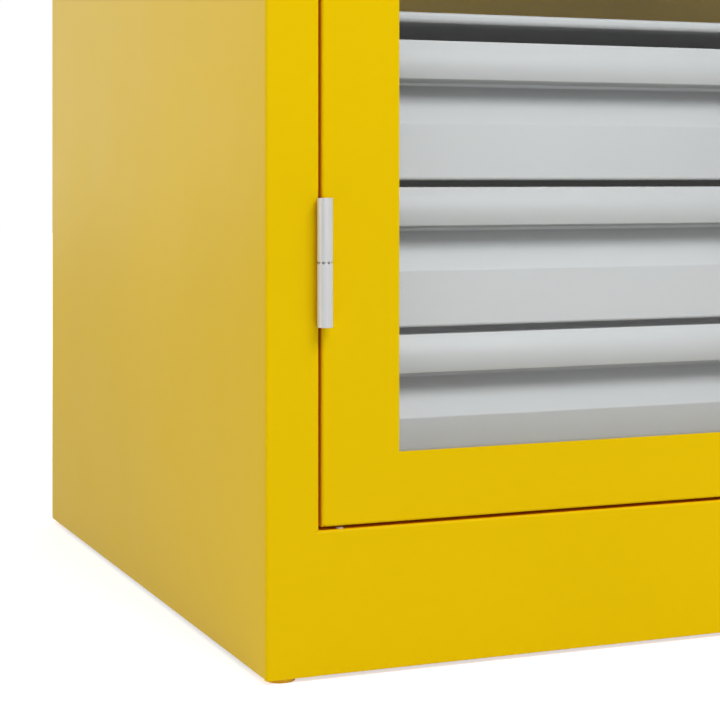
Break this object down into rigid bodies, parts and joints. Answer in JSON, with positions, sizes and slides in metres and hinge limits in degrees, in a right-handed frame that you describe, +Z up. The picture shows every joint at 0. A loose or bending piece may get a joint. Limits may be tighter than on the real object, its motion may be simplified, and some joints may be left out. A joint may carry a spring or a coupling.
{
  "type": "heavy-duty cabinet",
  "caption": "Free-standing sheet-steel workshop cabinet with windowed double doors on barrel hinges, drawers with full-width handle rails behind them, a shelf and levelling feet",
  "frame": {"origin": "On the floor under the middle of the whole cabinet's outline, handle included", "axes": "+Z up, -Y out of the doors towards the user, +X to the user's right"},
  "size_m": [1, 0.626, 1],
  "materials": {
    "body_paint": "smooth satin powder coat, warm yellow",
    "inner_paint": "smooth satin powder coat, light grey",
    "hinge_steel": "drawn barrel with fine lengthwise drawing marks",
    "zinc_steel": "bright zinc plated",
    "clear_pane": "clear polished sheet",
    "gasket_rubber": "matte",
    "buffer_rubber": "matte",
    "handle_black": "fine-grained moulding",
    "foot_paint": "satin powder coat, a little darker than the body"
  },
  "bodies": {
    "cabinet": {"side_panel_left": "body_paint", "side_panel_right": "body_paint", "top_panel": "body_paint", "plinth_front": "body_paint", "floor_panel": "body_paint", "back_panel": "body_paint", "foot_gussets": "body_paint", "shelf_uprights": "inner_paint", "drawer_carrier_left": "inner_paint", "drawer_carrier_right": "inner_paint", "drawer_cover": "inner_paint", "shelf": "inner_paint", "shelf_clips": "zinc_steel", "stop_buffers": "buffer_rubber", "bolt_keepers": "zinc_steel", "hinge_frame_knuckles": "hinge_steel", "runner_cabinet_members": "zinc_steel"},
    "foot_front_left": {"foot_front_left": "foot_paint"},
    "foot_front_right": {"foot_front_right": "foot_paint"},
    "foot_rear_left": {"foot_rear_left": "foot_paint"},
    "foot_rear_right": {"foot_rear_right": "foot_paint"},
    "left_door": {"door_left": "body_paint", "hinge_door_knuckles_left": "hinge_steel", "gasket_left": "gasket_rubber", "window_pane_left": "clear_pane", "pane_retainer_left": "zinc_steel", "retainer_nuts_left": "zinc_steel", "bolt_guides": "zinc_steel"},
    "right_door": {"door_right": "body_paint", "hinge_door_knuckles_right": "hinge_steel", "gasket_right": "gasket_rubber", "window_pane_right": "clear_pane", "pane_retainer_right": "zinc_steel", "retainer_nuts_right": "zinc_steel", "handle_rose": "handle_black", "spindle_bearing": "zinc_steel", "lock_rod_guides": "zinc_steel"},
    "handle": {"turn_handle": "handle_black", "lock_cam": "zinc_steel"},
    "lock_rod_upper": {"lock_rod_upper": "zinc_steel"},
    "lock_rod_lower": {"lock_rod_lower": "zinc_steel"},
    "shoot_bolt_upper": {"shoot_bolt_upper": "zinc_steel"},
    "shoot_bolt_lower": {"shoot_bolt_lower": "zinc_steel"},
    "drawer_1": {"drawer_1_front": "inner_paint", "drawer_1_tray": "inner_paint", "drawer_1_inner_runners": "zinc_steel"},
    "drawer_1_middle": {"drawer_1_middle_runners": "zinc_steel"},
    "drawer_2": {"drawer_2_front": "inner_paint", "drawer_2_tray": "inner_paint", "drawer_2_inner_runners": "zinc_steel"},
    "drawer_2_middle": {"drawer_2_middle_runners": "zinc_steel"},
    "drawer_3": {"drawer_3_front": "inner_paint", "drawer_3_tray": "inner_paint", "drawer_3_inner_runners": "zinc_steel"},
    "drawer_3_middle": {"drawer_3_middle_runners": "zinc_steel"}
  },
  "joints": [
    {"name": "left_door_swing", "type": "hinge", "parent": "cabinet", "child": "left_door", "pos_m": [-0.4625, -0.2923, 0.5295], "axis": [0, 0, -1], "range_deg": [0, 180]},
    {"name": "right_door_swing", "type": "hinge", "parent": "cabinet", "child": "right_door", "pos_m": [0.4625, -0.2923, 0.5295], "axis": [0, 0, 1], "range_deg": [0, 180]},
    {"name": "handle_turn", "type": "hinge", "parent": "right_door", "child": "handle", "pos_m": [0.0231, -0.287, 0.5295], "axis": [0, 1, 0], "range_deg": [0, 90]},
    {"name": "upper_rod_slide", "type": "slide", "parent": "right_door", "child": "lock_rod_upper", "axis": [0, 0, 1], "range_m": [0, 0.018]},
    {"name": "lower_rod_slide", "type": "slide", "parent": "right_door", "child": "lock_rod_lower", "axis": [0, 0, -1], "range_m": [0, 0.018]},
    {"name": "upper_bolt_slide", "type": "slide", "parent": "left_door", "child": "shoot_bolt_upper", "axis": [0, 0, 1], "range_m": [0, 0.015]},
    {"name": "lower_bolt_slide", "type": "slide", "parent": "left_door", "child": "shoot_bolt_lower", "axis": [0, 0, -1], "range_m": [0, 0.015]},
    {"name": "drawer_1_slide", "type": "slide", "parent": "cabinet", "child": "drawer_1", "axis": [0, -1, 0], "range_m": [0, 0.03]},
    {"name": "drawer_1_middle_slide", "type": "slide", "parent": "cabinet", "child": "drawer_1_middle", "axis": [0, -1, 0], "range_m": [0, 0.015]},
    {"name": "drawer_2_slide", "type": "slide", "parent": "cabinet", "child": "drawer_2", "axis": [0, -1, 0], "range_m": [0, 0.03]},
    {"name": "drawer_2_middle_slide", "type": "slide", "parent": "cabinet", "child": "drawer_2_middle", "axis": [0, -1, 0], "range_m": [0, 0.015]},
    {"name": "drawer_3_slide", "type": "slide", "parent": "cabinet", "child": "drawer_3", "axis": [0, -1, 0], "range_m": [0, 0.03]},
    {"name": "drawer_3_middle_slide", "type": "slide", "parent": "cabinet", "child": "drawer_3_middle", "axis": [0, -1, 0], "range_m": [0, 0.015]},
    {"name": "foot_front_left_screw", "type": "slide", "parent": "cabinet", "child": "foot_front_left", "axis": [0, 0, -1], "range_m": [0, 0.02]},
    {"name": "foot_front_right_screw", "type": "slide", "parent": "cabinet", "child": "foot_front_right", "axis": [0, 0, -1], "range_m": [0, 0.02]},
    {"name": "foot_rear_left_screw", "type": "slide", "parent": "cabinet", "child": "foot_rear_left", "axis": [0, 0, -1], "range_m": [0, 0.02]},
    {"name": "foot_rear_right_screw", "type": "slide", "parent": "cabinet", "child": "foot_rear_right", "axis": [0, 0, -1], "range_m": [0, 0.02]}
  ],
  "couplings": [
    {"joint": "handle_turn", "follows": "upper_rod_slide", "rad_per_m": 87.26},
    {"joint": "lower_rod_slide", "follows": "upper_rod_slide", "ratio": 1},
    {"joint": "drawer_1_middle_slide", "follows": "drawer_1_slide", "ratio": 0.5},
    {"joint": "drawer_2_middle_slide", "follows": "drawer_2_slide", "ratio": 0.5},
    {"joint": "drawer_3_middle_slide", "follows": "drawer_3_slide", "ratio": 0.5}
  ]
}
